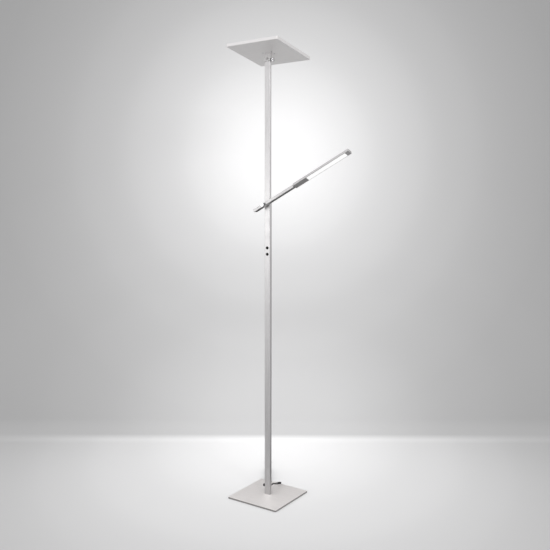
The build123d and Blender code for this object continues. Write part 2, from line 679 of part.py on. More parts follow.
def swivel_set_screw():
    """Reaches into the spigot's groove, so that the light turns but can't slide off."""
    tip = SWIVEL_DIA / 2 - GROOVE_DEPTH + GAP
    screw = rod_z(SET_SCREW_DIA / 2, LIGHT_FACE + 0.2, -tip, SET_SCREW_X)
    screw -= Pos(SET_SCREW_X, 0, LIGHT_FACE + 0.2) * extrude(RegularPolygon(0.9, 6), 1.0)
    return LIGHT_AT * screw


def reading_end_cap():
    cap = level(LIGHT_WIDTH, LIGHT_THICK, 1.0, CHANNEL_END, LIGHT_END)
    cap = fillet(cap.faces().sort_by(Axis.X)[-1].edges(), 0.5)
    return LIGHT_AT * (cap + channel_fill(WINDOW_END, CHANNEL_END))


def reading_led_strip():
    half = CHANNEL_WIDTH / 2 - FIT
    start = WINDOW_START + GAP
    end = WINDOW_END - GAP
    back = CHANNEL_ROOF - 0.1
    strip = block(start, end, -half, half, back - STRIP_THICK, back)
    pitch = (end - start) / STRIP_CHIPS
    for i in range(STRIP_CHIPS):
        strip += chip(start + (i + 0.5) * pitch, back - STRIP_THICK - LED_SIZE[2])
    return LIGHT_AT * strip


def reading_diffuser():
    half = CHANNEL_WIDTH / 2 - FIT
    face = LIGHT_FACE + 0.2
    back = face + READING_DIFFUSER_THICK
    return LIGHT_AT * block(WINDOW_START + 0.1, WINDOW_END - 0.1, -half, half, face, back)


# ---- mains lead ----
def strain_relief():
    """A tapered, ribbed sleeve that is pushed into the post's rear wall."""
    wall = REAR - POST_WALL
    flange = 1.6
    sleeve = rod_y(RELIEF_NECK, wall - 1.0, REAR, 0, LEAD_HEIGHT)
    sleeve += rod_y(RELIEF_FLANGE, REAR, REAR + flange, 0, LEAD_HEIGHT)
    length = RELIEF_LENGTH - flange
    tip = CORD_DIA / 2 + 0.7
    taper = Cone(tip + 1.0, tip, length)
    for i in range(5):
        z = -length / 2 + length * (0.18 + 0.16 * i)
        taper -= Pos(0, 0, z) * (Cylinder(RELIEF_FLANGE, 1.2) - Cylinder(tip + 0.75 - 0.17 * i, 1.2))
    sleeve += Pos(0, REAR + flange + length / 2, LEAD_HEIGHT) * Rot(-90, 0, 0) * taper
    return sleeve - rod_y(CORD_DIA / 2, 0, REAR + RELIEF_LENGTH - 4.0, 0, LEAD_HEIGHT)


LEAD_START = REAR + RELIEF_LENGTH
FLOOR_LINE = TIE_THICK + GAP + CORD_DIA / 2
# The lead droops from the post to the rear edge of the base and turns along it, behind the plate.
LEAD_POINTS = [
    (0.0, LEAD_START, LEAD_HEIGHT),
    (0.0, LEAD_START + 12.0, LEAD_HEIGHT),
    (0.0, 63.0, 29.0),
    (-1.0, 86.0, 22.6),
    (-7.0, 108.0, 16.6),
    (-22.0, 124.0, 11.2),
    (-38.0, 124.2, 5.0),
    (-52.0, 122.8, CORD_DIA / 2 + 0.2),
]


def hank_point(along, across, z):
    """A point of the hank: along runs straight away behind the post, across is to its right."""
    a = radians(HANK_AZIMUTH)
    return (across * cos(a) - along * sin(a), along * cos(a) + across * sin(a), z)


HANK_END = HANK_START + HANK_RUN + 2 * HANK_TURN_RADIUS
HANK_MIDDLE = (HANK_START + HANK_END) / 2
HANK_TOP = FLOOR_LINE + HANK_TURNS * HANK_STEP
HANK_EASE = 2 * HANK_TURN_RADIUS + 1.0  # from an end to where the run starts to draw in
WAIST_HALF = 14.0
WAIST_OUT = CORD_DIA / 2 + GAP
HANK_JOIN = HANK_START + HANK_TURN_RADIUS + 1.5 * CORD_DIA  # where the free stretches meet it
HANK_ENTRY = (HANK_START - 13.5, HANK_TURN_RADIUS, FLOOR_LINE)


def hank_points():
    """The tied hank: each turn is two runs drawn in at the waist and two half turns, one above another."""
    wide = HANK_TURN_RADIUS
    near = HANK_START
    far = HANK_END
    first, last = HANK_MIDDLE - WAIST_HALF, HANK_MIDDLE + WAIST_HALF
    points = [hank_point(HANK_JOIN, wide, FLOOR_LINE)]
    for turn in range(HANK_TURNS):
        z = FLOOR_LINE + turn * HANK_STEP
        entry = HANK_JOIN + 2.2 * CORD_DIA if turn == 0 else near + HANK_EASE
        out = [(entry, wide), (first, WAIST_OUT), (last, WAIST_OUT), (far - HANK_EASE, wide), (far, wide)]
        points += [hank_point(s, t, z) for s, t in out]
        rise = [(far, wide, 0.0), (far - HANK_EASE, wide, 0.0), (last, WAIST_OUT, 0.3)]
        rise += [(first, WAIST_OUT, 0.7), (near + HANK_EASE, wide, 1.0), (near, wide, 1.0)]
        points += [hank_point(s, -t, z + share * HANK_STEP) for s, t, share in rise]
        points.append(hank_point(near, wide, z + HANK_STEP))
    return points + [hank_point(HANK_JOIN, wide, HANK_TOP)]


PLUG_START = HANK_END + 66.0
PLUG_BODY = (30.0, 23.0, 13.6)
PLUG_LINE = PLUG_BODY[2] / 2
PLUG_TAPER = 12.0


def tail_points():
    """Along the top of the hank, through its tie, and down to the plug on the floor beyond it."""
    places = [
        (HANK_JOIN, HANK_TURN_RADIUS, HANK_TOP),
        (HANK_JOIN + 2.2 * CORD_DIA, HANK_TURN_RADIUS, HANK_TOP),
        (HANK_MIDDLE - WAIST_HALF, WAIST_OUT, HANK_TOP),
        (HANK_MIDDLE + WAIST_HALF, WAIST_OUT, HANK_TOP),
        (HANK_END - 20.0, 7.5, HANK_TOP),
        (HANK_END + 8.0, 4.0, HANK_TOP),
        (HANK_END + 24.0, 0.5, HANK_TOP - 8.0),
        (HANK_END + 40.0, 0.0, PLUG_LINE + 4.0),
        (PLUG_START - 13.0, 0.0, PLUG_LINE),
        (PLUG_START, 0.0, PLUG_LINE),
    ]
    return [hank_point(*place) for place in places]


def corner_radii(points, share=0.45, least=None):
    """The largest arc that fits each corner of a route."""
    radii = []
    for before, corner, after in zip(points, points[1:], points[2:]):
        one, two = Vector(*corner) - Vector(*before), Vector(*after) - Vector(*corner)
        turn = radians(one.get_angle(two))
        radius = share * min(one.length, two.length) / tan(turn / 2)
        if least and degrees(turn) > 80:
            radius = least
        radii.append(radius)
    return radii


def cord_tube(points, name, least=None):
    """A tube along a route, with its bends and its length printed."""
    radii = corner_radii(points, least=least)
    path = FilletPolyline(*points, radius=radii)
    first, last = Vector(*points[0]), Vector(*points[1])
    section = Plane(first, z_dir=last - first) * Circle(CORD_DIA / 2)
    tube = sweep(section, path=path)
    ratio = tube.volume / (pi * CORD_DIA**2 / 4 * path.length)
    print(f"{name}: length {path.length:.1f}, least radius {min(radii):.1f}, volume ratio {ratio:.4f}")
    print("  radii " + " ".join(f"{radius:.0f}" for radius in radii))
    return tube, path


def least_gap(path):
    """The least distance between stretches of one tube that aren't next to each other, less its diameter."""
    step = 1.2
    count = int(path.length / step)
    line = [path.position_at(i / count) for i in range(count + 1)]
    apart = int(4 * CORD_DIA / step)
    nearest = min(
        (line[i] - line[j]).length for i in range(count + 1) for j in range(i + apart, count + 1)
    )
    return nearest - CORD_DIA


def cord_parts():
    """The free stretch, the hank and the tail, which meet face to face."""
    entry = hank_point(*HANK_ENTRY)
    start = hank_point(HANK_JOIN, HANK_TURN_RADIUS, FLOOR_LINE)
    lead, _ = cord_tube(LEAD_POINTS + [entry, start], "power_cord")
    coil, coil_path = cord_tube(hank_points(), "cord_hank", least=HANK_TURN_RADIUS - 0.1)
    print(f"cord_hank: least gap {least_gap(coil_path):.2f}")
    tail, _ = cord_tube(tail_points(), "cord_tail")
    return lead, coil, tail


def cord_tie():
    """A band around the hank's waist."""
    across = 2 * (WAIST_OUT + CORD_DIA / 2 + GAP)
    high = HANK_TOP + CORD_DIA / 2 + GAP + TIE_THICK
    band = upright(TIE_WIDTH, across + 2 * TIE_THICK, 0.2, 0, high)
    band = fillet(band.edges().filter_by(Axis.X), 1.8)
    inside = block(-TIE_WIDTH, TIE_WIDTH, -across / 2, across / 2, TIE_THICK, high - TIE_THICK)
    inside = fillet(inside.edges().filter_by(Axis.X), 1.0)
    return Location(hank_point(HANK_MIDDLE, 0, 0), (0, 0, 90 + HANK_AZIMUTH)) * (band - inside)


def plug_at():
    return Location(hank_point(PLUG_START, 0, PLUG_LINE), (0, 0, 90 + HANK_AZIMUTH))


PIN_SIZE = (17.5, 1.5, 6.35)
PIN_SPACING = 12.7


def plug_section(x, width, thick, corner=4.0):
    return Plane((x, 0, 0), x_dir=(0, 1, 0), z_dir=(1, 0, 0)) * RectangleRounded(width, thick, corner)


def plug_body():
    """A moulded two-pin plug, with a tapered neck around the lead."""
    length, width, thick = PLUG_BODY
    shoulder = PLUG_TAPER + length * 0.45
    neck = Cone(CORD_DIA / 2 + 0.8, CORD_DIA / 2 + 2.0, PLUG_TAPER)
    body = Pos(PLUG_TAPER / 2, 0, 0) * Rot(0, 90, 0) * neck
    body += loft([plug_section(PLUG_TAPER, width * 0.5, thick * 0.7), plug_section(shoulder, width, thick)])
    body += level(width, thick, 4.0, shoulder, PLUG_TAPER + length)
    slot = Box(8, PIN_SIZE[1] + 2 * SCREW_FIT, PIN_SIZE[2] + 2 * SCREW_FIT)
    for side in (-PIN_SPACING / 2, PIN_SPACING / 2):
        body -= Pos(PLUG_TAPER + length - 4, side, 0) * slot
    return plug_at() * body


def plug_pins():
    long, thick, high = PIN_SIZE
    face = PLUG_TAPER + PLUG_BODY[0]
    pin = block(face - 8 + SCREW_FIT, face + long, -thick / 2, thick / 2, -high / 2, high / 2)
    pin = chamfer(pin.faces().sort_by(Axis.X)[-1].edges(), 0.5)
    pin -= rod_y(1.6, -thick, thick, face + long - 4.5)
    return [plug_at() * Pos(0, side, 0) * pin for side in (-PIN_SPACING / 2, PIN_SPACING / 2)]


# ---- every piece under its own name ----
def pieces():
    lead, coil, tail = cord_parts()
    return {
        "base_plate": base_plate(),
        "base_pad": base_pad(),
        "base_spigot": base_spigot(),
        "spigot_screws": spigot_screws(),
        "post_clamp_screw": post_clamp_screw(),
        "lower_post": lower_post(),
        "upper_post": upper_post(),
        "post_joiner": post_joiner(),
        "joiner_screws": joiner_screws(),
        "hinge_insert": hinge_insert(),
        "insert_screw": insert_screw(),
        "led_driver": led_driver(),
        "driver_loom": driver_loom(),
        "head_loom": head_loom(),
        "button_carrier": button_carrier(),
        "control_board": control_board(),
        "button_upper": button(BUTTON_HEIGHTS[0]),
        "button_lower": button(BUTTON_HEIGHTS[1]),
        "pivot_boss": pivot_boss(),
        "pivot_washers": pivot_washers(),
        "pivot_bolt": pivot_bolt(),
        "arm_knob": arm_knob(),
        "arm_bar": arm_bar(),
        "arm_bush": arm_bush(),
        "arm_tail_cap": arm_tail_cap(),
        "arm_swivel_plug": arm_swivel_plug(),
        "arm_lead": arm_lead(),
        "reading_neck": reading_neck(),
        "reading_housing": reading_housing(),
        "reading_end_cap": reading_end_cap(),
        "reading_diffuser": reading_diffuser(),
        "reading_led_strip": reading_led_strip(),
        "swivel_set_screw": swivel_set_screw(),
        "tilt_bracket": tilt_bracket(),
        "bracket_screws": bracket_screws(),
        "tilt_bolt": tilt_bolt(),
        "tilt_washers": tilt_washers(),
        "knob_washer": knob_washer(),
        "tilt_knob": tilt_knob(),
        "head_tray": head_tray(),
        "heat_spreader": heat_spreader(),
        "spreader_screws": spreader_screws(),
        "led_bars": led_bars(),
        "diffuser_frame": diffuser_frame(),
        "head_diffuser": head_diffuser(),
        "strain_relief": strain_relief(),
        "power_cord": lead,
        "cord_hank": coil,
        "cord_tail": tail,
        "cord_tie": cord_tie(),
        "plug_body": plug_body(),
        "plug_pins": plug_pins(),
    }


os.makedirs("parts", exist_ok=True)
for name, shape in pieces().items():
    solids = shape if isinstance(shape, list) else [shape]
    solids = [solid for one in solids for solid in one.solids()]
    whole = solids[0] if len(solids) == 1 else Compound(children=solids)
    whole.label = name
    export_step(whole, f"parts/{name}.step")
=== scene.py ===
"""Looks of a torchiere floor lamp with a reading light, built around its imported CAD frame. Metres."""

import math

import bpy
from bpy.props import FloatProperty, FloatVectorProperty
from mathutils import Euler, Matrix, Vector


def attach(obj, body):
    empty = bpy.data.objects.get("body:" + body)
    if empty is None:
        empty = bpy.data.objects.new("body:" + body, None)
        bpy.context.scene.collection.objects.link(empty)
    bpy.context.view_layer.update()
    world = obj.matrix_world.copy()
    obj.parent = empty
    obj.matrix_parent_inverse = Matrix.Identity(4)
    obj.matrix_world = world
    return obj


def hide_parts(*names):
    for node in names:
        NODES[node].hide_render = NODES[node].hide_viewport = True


bl_info = {
    "name": "Torchiere lamp looks",
    "version": (1, 0, 0),
    "blender": (4, 5, 0),
    "location": "View3D > Sidebar > Torchiere",
    "description": "Dresses the packed torchiere lamp with its finishes, lead and studio",
    "category": "Object",
}

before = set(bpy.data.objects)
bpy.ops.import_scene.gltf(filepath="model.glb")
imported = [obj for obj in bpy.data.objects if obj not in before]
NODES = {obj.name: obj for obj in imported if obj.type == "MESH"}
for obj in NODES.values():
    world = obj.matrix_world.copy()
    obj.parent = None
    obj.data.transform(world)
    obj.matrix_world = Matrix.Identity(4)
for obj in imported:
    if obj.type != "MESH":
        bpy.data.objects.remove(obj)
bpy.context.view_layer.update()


# ---- shader helpers ----
def add(tree, kind, **settings):
    """Adds a shader node and sets its properties and its unlinked inputs."""
    node = tree.nodes.new(kind)
    for key, value in settings.items():
        if hasattr(node, key):
            setattr(node, key, value)
        else:
            node.inputs[key.replace("_", " ")].default_value = value
    return node


def wire(tree, source, target):
    tree.links.new(source, target)


def feed(tree, socket, value):
    """Links another node's output to an input, or sets the input to a plain value."""
    if isinstance(value, bpy.types.NodeSocket):
        wire(tree, value, socket)
    else:
        socket.default_value = value


def group(name, inputs, outputs):
    """A new shader node group with its sockets; each is (name, kind, default)."""
    tree = bpy.data.node_groups.new(name, "ShaderNodeTree")
    for direction, sockets in (("INPUT", inputs), ("OUTPUT", outputs)):
        for label, kind, default in sockets:
            socket = tree.interface.new_socket(label, in_out=direction, socket_type="NodeSocket" + kind)
            if default is not None:
                socket.default_value = default
    return tree, tree.nodes.new("NodeGroupInput"), tree.nodes.new("NodeGroupOutput")


def noise(tree, vector, scale, detail=2.0, roughness=0.5):
    node = add(tree, "ShaderNodeTexNoise", Scale=scale, Detail=detail, Roughness=roughness)
    wire(tree, vector, node.inputs["Vector"])
    return node.outputs["Fac"]


def remap(tree, value, low, high, out_low, out_high):
    ends = {"From_Min": low, "From_Max": high, "To_Min": out_low, "To_Max": out_high}
    node = add(tree, "ShaderNodeMapRange", **ends)
    wire(tree, value, node.inputs["Value"])
    return node.outputs["Result"]


def maths(tree, operation, one, two=0.0):
    node = add(tree, "ShaderNodeMath", operation=operation)
    feed(tree, node.inputs[0], one)
    feed(tree, node.inputs[1], two)
    return node.outputs["Value"]


def vector_maths(tree, operation, one, two=(0.0, 0.0, 0.0)):
    node = add(tree, "ShaderNodeVectorMath", operation=operation)
    feed(tree, node.inputs[0], one)
    feed(tree, node.inputs[1], two)
    return node.outputs["Value" if operation in ("LENGTH", "DISTANCE") else "Vector"]


def axis_part(tree, vector, axis):
    """One coordinate of a vector."""
    node = tree.nodes.new("ShaderNodeSeparateXYZ")
    wire(tree, vector, node.inputs["Vector"])
    return node.outputs[axis]


def mix_colours(tree, factor, first, second):
    """Goes from the first colour to the second; each is a colour or another node's output."""
    node = add(tree, "ShaderNodeMix", data_type="RGBA")
    wire(tree, factor, node.inputs["Factor"])
    ends = [socket for socket in node.inputs if socket.type == "RGBA"]
    for socket, colour in zip(ends, (first, second)):
        feed(tree, socket, colour if isinstance(colour, bpy.types.NodeSocket) else (*colour, 1.0))
    return next(socket for socket in node.outputs if socket.type == "RGBA")


def in_mirrors(tree):
    """1 where the surface is seen by way of other shiny pieces."""
    return tree.nodes.new("ShaderNodeLightPath").outputs["Is Glossy Ray"]


def tone(colour, share):
    """A colour made lighter or darker."""
    return [min(1.0, part * share) for part in colour]


# ---- shared effects ----
def brushed_grain():
    """Fine parallel scratches along Z of the vector that comes in, with broader bands among them."""
    tree, inside, outside = group(
        "Brushed grain",
        [("Vector", "Vector", None), ("Stretch", "Float", 60.0)],
        [("Grain", "Float", None), ("Bands", "Float", None)],
    )
    scale = add(tree, "ShaderNodeCombineXYZ", X=1.0, Y=1.0)
    wire(tree, maths(tree, "DIVIDE", 1.0, inside.outputs["Stretch"]), scale.inputs["Z"])
    place = vector_maths(tree, "MULTIPLY", inside.outputs["Vector"], scale.outputs["Vector"])
    wire(tree, noise(tree, place, 2600.0, 3.0, 0.7), outside.inputs["Grain"])
    wire(tree, noise(tree, place, 420.0, 3.0, 0.6), outside.inputs["Bands"])
    return tree


def handling_marks():
    """Soft uneven patches where the surface has been wiped and touched."""
    tree, inside, outside = group(
        "Handling marks",
        [("Vector", "Vector", None), ("Size", "Float", 22.0)],
        [("Patches", "Float", None)],
    )
    cloud = add(tree, "ShaderNodeTexNoise", Detail=4.0, Roughness=0.55)
    wire(tree, inside.outputs["Vector"], cloud.inputs["Vector"])
    wire(tree, inside.outputs["Size"], cloud.inputs["Scale"])
    wire(tree, remap(tree, cloud.outputs["Fac"], 0.32, 0.68, 0.0, 1.0), outside.inputs["Patches"])
    return tree


def moulded_grain():
    """The fine pebbled skin of a moulded plastic or rubber piece."""
    tree, inside, outside = group(
        "Moulded grain",
        [("Vector", "Vector", None), ("Size", "Float", 1.0)],
        [("Height", "Float", None), ("Shade", "Float", None)],
    )
    cells = add(tree, "ShaderNodeTexVoronoi", feature="SMOOTH_F1")
    wire(tree, inside.outputs["Vector"], cells.inputs["Vector"])
    wire(tree, maths(tree, "DIVIDE", 1400.0, inside.outputs["Size"]), cells.inputs["Scale"])
    wire(tree, cells.outputs["Distance"], outside.inputs["Height"])
    wire(tree, noise(tree, inside.outputs["Vector"], 60.0, 4.0), outside.inputs["Shade"])
    return tree


EFFECT_MAKERS = {"grain": brushed_grain, "marks": handling_marks, "moulded": moulded_grain}
EFFECTS = {}


def effect(tree, name, vector, **values):
    """Places a shared effect in a material; the effect itself is built once."""
    if name not in EFFECTS:
        EFFECTS[name] = EFFECT_MAKERS[name]()
    node = tree.nodes.new("ShaderNodeGroup")
    node.node_tree = EFFECTS[name]
    wire(tree, vector, node.inputs["Vector"])
    for label, value in values.items():
        node.inputs[label].default_value = value
    return node.outputs


# ---- finishes ----
def new_material(name):
    material = bpy.data.materials.new(name)
    material.use_nodes = True
    tree = material.node_tree
    tree.nodes.clear()
    shader = tree.nodes.new("ShaderNodeBsdfPrincipled")
    output = tree.nodes.new("ShaderNodeOutputMaterial")
    wire(tree, shader.outputs["BSDF"], output.inputs["Surface"])
    return material, tree, shader


def own_place(tree, turn=(0, 0, 0)):
    """The piece's own coordinates, turned so that Z runs along the finish."""
    place = tree.nodes.new("ShaderNodeTexCoord")
    mapping = add(tree, "ShaderNodeMapping", vector_type="TEXTURE")
    mapping.inputs["Rotation"].default_value = [math.radians(angle) for angle in turn]
    wire(tree, place.outputs["Object"], mapping.inputs["Vector"])
    return mapping.outputs["Vector"]


def bump(tree, shader, height, strength, distance):
    node = add(tree, "ShaderNodeBump", Strength=strength, Distance=distance)
    wire(tree, height, node.inputs["Height"])
    wire(tree, node.outputs["Normal"], shader.inputs["Normal"])


def paint_shade_on_cut_edges(tree, shade, painted_edge_colour):
    """Keeps the shade on level faces and paints shade on the upright cut edges, in the painted edge colour.
    """
    facing = tree.nodes.new("ShaderNodeTexCoord")
    level = maths(tree, "ABSOLUTE", axis_part(tree, facing.outputs["Normal"], "Z"))
    return mix_colours(tree, remap(tree, level, 0.35, 0.75, 0.0, 1.0), painted_edge_colour, shade)


def brushed_metal(
    name, colour, rough, turn=(0, 0, 0), contrast=0.16, relief=0.25, metallic=1.0, painted_edge_shade=1.0, mirrored=1.0
):
    """
    Satin metal with a brushed finish that runs along the turned Z axis.

    painted_edge_shade is the painted shade of upright cut edges, and mirrored is how bright the piece is
    painted in other metal's reflections.
    """
    material, tree, shader = new_material(name)
    vector = own_place(tree, turn)
    grain = effect(tree, "grain", vector)
    marks = effect(tree, "marks", vector)
    fine = maths(tree, "MULTIPLY", grain["Grain"], 0.6)
    broad = maths(tree, "MULTIPLY", grain["Bands"], 0.4)
    streaks = remap(tree, maths(tree, "ADD", fine, broad), 0.35, 0.65, 0.0, 1.0)
    shade = mix_colours(tree, streaks, tone(colour, 1.0 - contrast), tone(colour, 1.0 + contrast))
    # Painted shade: the upright cut edges are painted darker.
    if painted_edge_shade < 1.0:
        shade = paint_shade_on_cut_edges(tree, shade, tone(colour, painted_edge_shade))
    # Painted reflection: the piece is painted darker where other metal mirrors it.
    if mirrored < 1.0:
        shade = mix_colours(tree, in_mirrors(tree), shade, tone(colour, mirrored))
    wire(tree, shade, shader.inputs["Base Color"])
    banded = remap(tree, grain["Bands"], 0.3, 0.7, rough - 0.05, rough + 0.05)
    touched = maths(tree, "MULTIPLY", marks["Patches"], 0.05)
    wire(tree, maths(tree, "ADD", banded, touched), shader.inputs["Roughness"])
    bump(tree, shader, grain["Grain"], relief, 0.00004)
    shader.inputs["Metallic"].default_value = metallic
    return material


def plain_metal(name, colour, rough):
    """Turned, cast or plated metal with light handling marks."""
    material, tree, shader = new_material(name)
    vector = own_place(tree)
    patches = effect(tree, "marks", vector, Size=60.0)["Patches"]
    wire(tree, mix_colours(tree, patches, tone(colour, 0.93), colour), shader.inputs["Base Color"])
    wire(tree, remap(tree, patches, 0.0, 1.0, rough, rough + 0.07), shader.inputs["Roughness"])
    bump(tree, shader, noise(tree, vector, 1500.0, 2.0), 0.08, 0.00002)
    shader.inputs["Metallic"].default_value = 1.0
    return material


def moulded(name, colour, rough, size=1.0, relief=0.2, shine=0.5):
    """Moulded plastic or rubber; size is that of its grain."""
    material, tree, shader = new_material(name)
    skin = effect(tree, "moulded", own_place(tree), Size=size)
    lighter = [min(1.0, part * 1.25 + 0.002) for part in colour]
    patches = remap(tree, skin["Shade"], 0.3, 0.7, 0.0, 1.0)
    wire(tree, mix_colours(tree, patches, colour, lighter), shader.inputs["Base Color"])
    wire(tree, remap(tree, skin["Shade"], 0.3, 0.7, rough - 0.04, rough + 0.06), shader.inputs["Roughness"])
    shader.inputs["Specular IOR Level"].default_value = shine
    bump(tree, shader, skin["Height"], relief, 0.00005)
    return material


def lit_panel(name, colour, strength):
    """Frosted acrylic with the light on behind it."""
    material, tree, shader = new_material(name)
    vector = own_place(tree)
    patches = remap(tree, noise(tree, vector, 30.0, 3.0), 0.3, 0.7, 0.0, 1.0)
    wire(tree, mix_colours(tree, patches, tone(colour, 0.98), colour), shader.inputs["Emission Color"])
    shader.inputs["Base Color"].default_value = (0.3, 0.3, 0.295, 1.0)
    shader.inputs["Emission Strength"].default_value = strength
    shader.inputs["Roughness"].default_value = 0.45
    bump(tree, shader, noise(tree, vector, 2200.0, 2.0), 0.12, 0.00004)
    return material


def dress(material, *nodes):
    """Gives CAD nodes their finish."""
    for node in nodes:
        mesh = NODES[node].data
        mesh.materials.clear()
        mesh.materials.append(material)
        for polygon in mesh.polygons:
            polygon.material_index = 0


# ---- sizes and colours that a user would change ----
class LampFinish(bpy.types.PropertyGroup):
    nickel: FloatVectorProperty(
        name="Nickel",
        description="Colour of the satin metal",
        subtype="COLOR",
        default=(0.775, 0.765, 0.763),
        min=0,
        max=1,
    )
    satin: FloatProperty(
        name="Satin", description="Roughness of the brushed metal", default=0.36, min=0.05, max=0.9
    )
    reading_glow: FloatProperty(
        name="Reading glow",
        description="Strength of the reading light's panel",
        default=0.85,
        min=0,
        soft_max=50,
    )
    head_glow: FloatProperty(
        name="Head glow",
        description="Strength of the torchiere head's panel",
        default=2.0,
        min=0,
        soft_max=50,
    )


class LampLead(bpy.types.PropertyGroup):
    thickness: FloatProperty(
        name="Thickness",
        description="Diameter of the mains lead",
        default=0.0054,
        min=0.002,
        max=0.02,
        unit="LENGTH",
    )


class LampStudio(bpy.types.PropertyGroup):
    paper: FloatVectorProperty(
        name="Paper",
        description="Tint of the backdrop",
        subtype="COLOR",
        default=(1.0, 1.0, 1.0),
        min=0,
        max=1,
    )
    # The paper glows with its painted pools of light, though it is no lamp.
    paper_glow: FloatProperty(
        name="Paper glow", description="Light of the backdrop's own", default=0.4, min=0, max=2
    )
    # Painted reflection: how bright the paper is painted where metal mirrors it.
    mirrored: FloatProperty(
        name="Mirrored", description="Share of the paper's light in the metal", default=0.62, min=0, max=1
    )
    wall_distance: FloatProperty(
        name="Wall distance",
        description="From the camera to the backdrop",
        default=3.57,
        min=2,
        max=9,
        unit="LENGTH",
    )
    daylight: FloatProperty(
        name="Daylight", description="Strength of the even light", default=0.64, min=0, max=5
    )


# ---- stage: camera ----
CAMERA_PLACE = Vector((1.60947, -2.31609, 1.190))
CAMERA_HEADING = 0.5976
CAMERA_DIP = 0.0948
CAMERA_ROLL = -0.0015
CAMERA_LENS = 45.94


def heading(forward, right, z):
    """A point given by its way forward and to the right of the camera, on the floor plan."""
    ahead = Vector((-math.sin(CAMERA_HEADING), math.cos(CAMERA_HEADING), 0.0))
    aside = Vector((math.cos(CAMERA_HEADING), math.sin(CAMERA_HEADING), 0.0))
    spot = Vector((CAMERA_PLACE.x, CAMERA_PLACE.y, 0.0)) + ahead * forward + aside * right
    return Vector((spot.x, spot.y, z))


def place_camera():
    camera = bpy.data.objects.new("Photo_camera", bpy.data.cameras.new("Photo_camera"))
    bpy.context.scene.collection.objects.link(camera)
    camera.data.sensor_width = 36.0
    camera.data.lens = CAMERA_LENS
    camera.data.clip_start, camera.data.clip_end = 0.05, 60.0
    upright = Euler((math.pi / 2 - CAMERA_DIP, 0.0, CAMERA_HEADING)).to_matrix()
    turned = upright @ Matrix.Rotation(-CAMERA_ROLL, 3, "Z")
    camera.matrix_world = Matrix.Translation(CAMERA_PLACE) @ turned.to_4x4()
    bpy.context.scene.camera = camera


# ---- stage: floor and backdrop ----
PAPER_NEAR = -3.0
PAPER_HEIGHT = 3.4
CURVE = 0.10
CURVE_STEPS = 12
PAPER_WIDTHS = [-6.0, -3.0, -1.7, 0.0, 1.7, 3.0, 6.0]
FLOOR_ROWS = 2
WALL_COLUMNS = range(2, 5)

# Pools of light painted on the paper, in its colour and its glow: (metres from the centre, shade).
POOL_REACH = 2.5
WALL_POOL_HEIGHT = 1.46
WALL_POOL = [(0.0, 0.80), (0.25, 0.73), (0.48, 0.58), (0.76, 0.45), (1.04, 0.365), (1.42, 0.298), (2.5, 0.27)]
# Painted bounce light low on the wall, where the floor would light it.
BOUNCE_HEIGHT = 0.1
BOUNCE_POOL = [(0.0, 0.20), (0.25, 0.18), (0.5, 0.105), (0.75, 0.065), (1.0, 0.045), (1.4, 0.02), (2.5, 0.0)]
FLOOR_POOL_BEFORE_WALL = 0.07
FLOOR_POOL = [(0.0, 0.77), (0.3, 0.71), (0.6, 0.60), (0.9, 0.51), (1.15, 0.43), (1.45, 0.37), (2.5, 0.36)]

# Painted reflection: where metal mirrors the paper, the paper is painted dark around a place behind the
# lamp's foot and brighter again far off.
DIM_CENTRE = (-0.25, 0.5, 0.3)
DIM_SHARE = 0.12
DIM_EDGE = (0.54, 0.74)
FAR_EDGE = (1.5, 2.4)
FAR_SHARE = 0.5


def backdrop_mesh(distance):
    """One sheet: the floor, a small curve and the wall behind the lamp, square to the camera."""
    profile = [(PAPER_NEAR, 0.0), (distance - 1.2, 0.0), (distance - CURVE, 0.0)]
    for i in range(1, CURVE_STEPS + 1):
        angle = math.pi / 2 * i / CURVE_STEPS
        profile.append((distance - CURVE + CURVE * math.sin(angle), CURVE - CURVE * math.cos(angle)))
    profile += [(distance, 1.0), (distance, PAPER_HEIGHT)]
    verts = [heading(forward, right, z) for forward, z in profile for right in PAPER_WIDTHS]
    columns = len(PAPER_WIDTHS)
    faces = [
        (row * columns + i, row * columns + i + 1, (row + 1) * columns + i + 1, (row + 1) * columns + i)
        for row in range(len(profile) - 1)
        for i in range(columns - 1)
        if row < FLOOR_ROWS or i in WALL_COLUMNS
    ]
    mesh = bpy.data.meshes.new("Backdrop")
    mesh.from_pydata(verts, [], faces)
    for polygon in mesh.polygons:
        polygon.use_smooth = True
    return mesh


def pool_of_light(tree, position, centre, stops, wide=1.0, deep=1.0):
    """A painted shade of light that falls off around a centre; wide is across the picture and deep is into
    it.
    """
    place = add(tree, "ShaderNodeMapping", vector_type="TEXTURE")
    wire(tree, position, place.inputs["Vector"])
    place.inputs["Location"].default_value = centre
    place.inputs["Rotation"].default_value = (0.0, 0.0, CAMERA_HEADING)
    place.inputs["Scale"].default_value = (wide, deep, 1.0)
    away = vector_maths(tree, "LENGTH", place.outputs["Vector"])
    pool = tree.nodes.new("ShaderNodeValToRGB")
    ramp = pool.color_ramp
    ramp.interpolation = "CARDINAL"
    while len(ramp.elements) < len(stops):
        ramp.elements.new(0.5)
    for element, (distance, shade) in zip(ramp.elements, stops):
        element.position = distance / POOL_REACH
        element.color = (shade, shade, shade, 1.0)
    wire(tree, maths(tree, "DIVIDE", away, POOL_REACH), pool.inputs["Fac"])
    return pool.outputs["Color"]


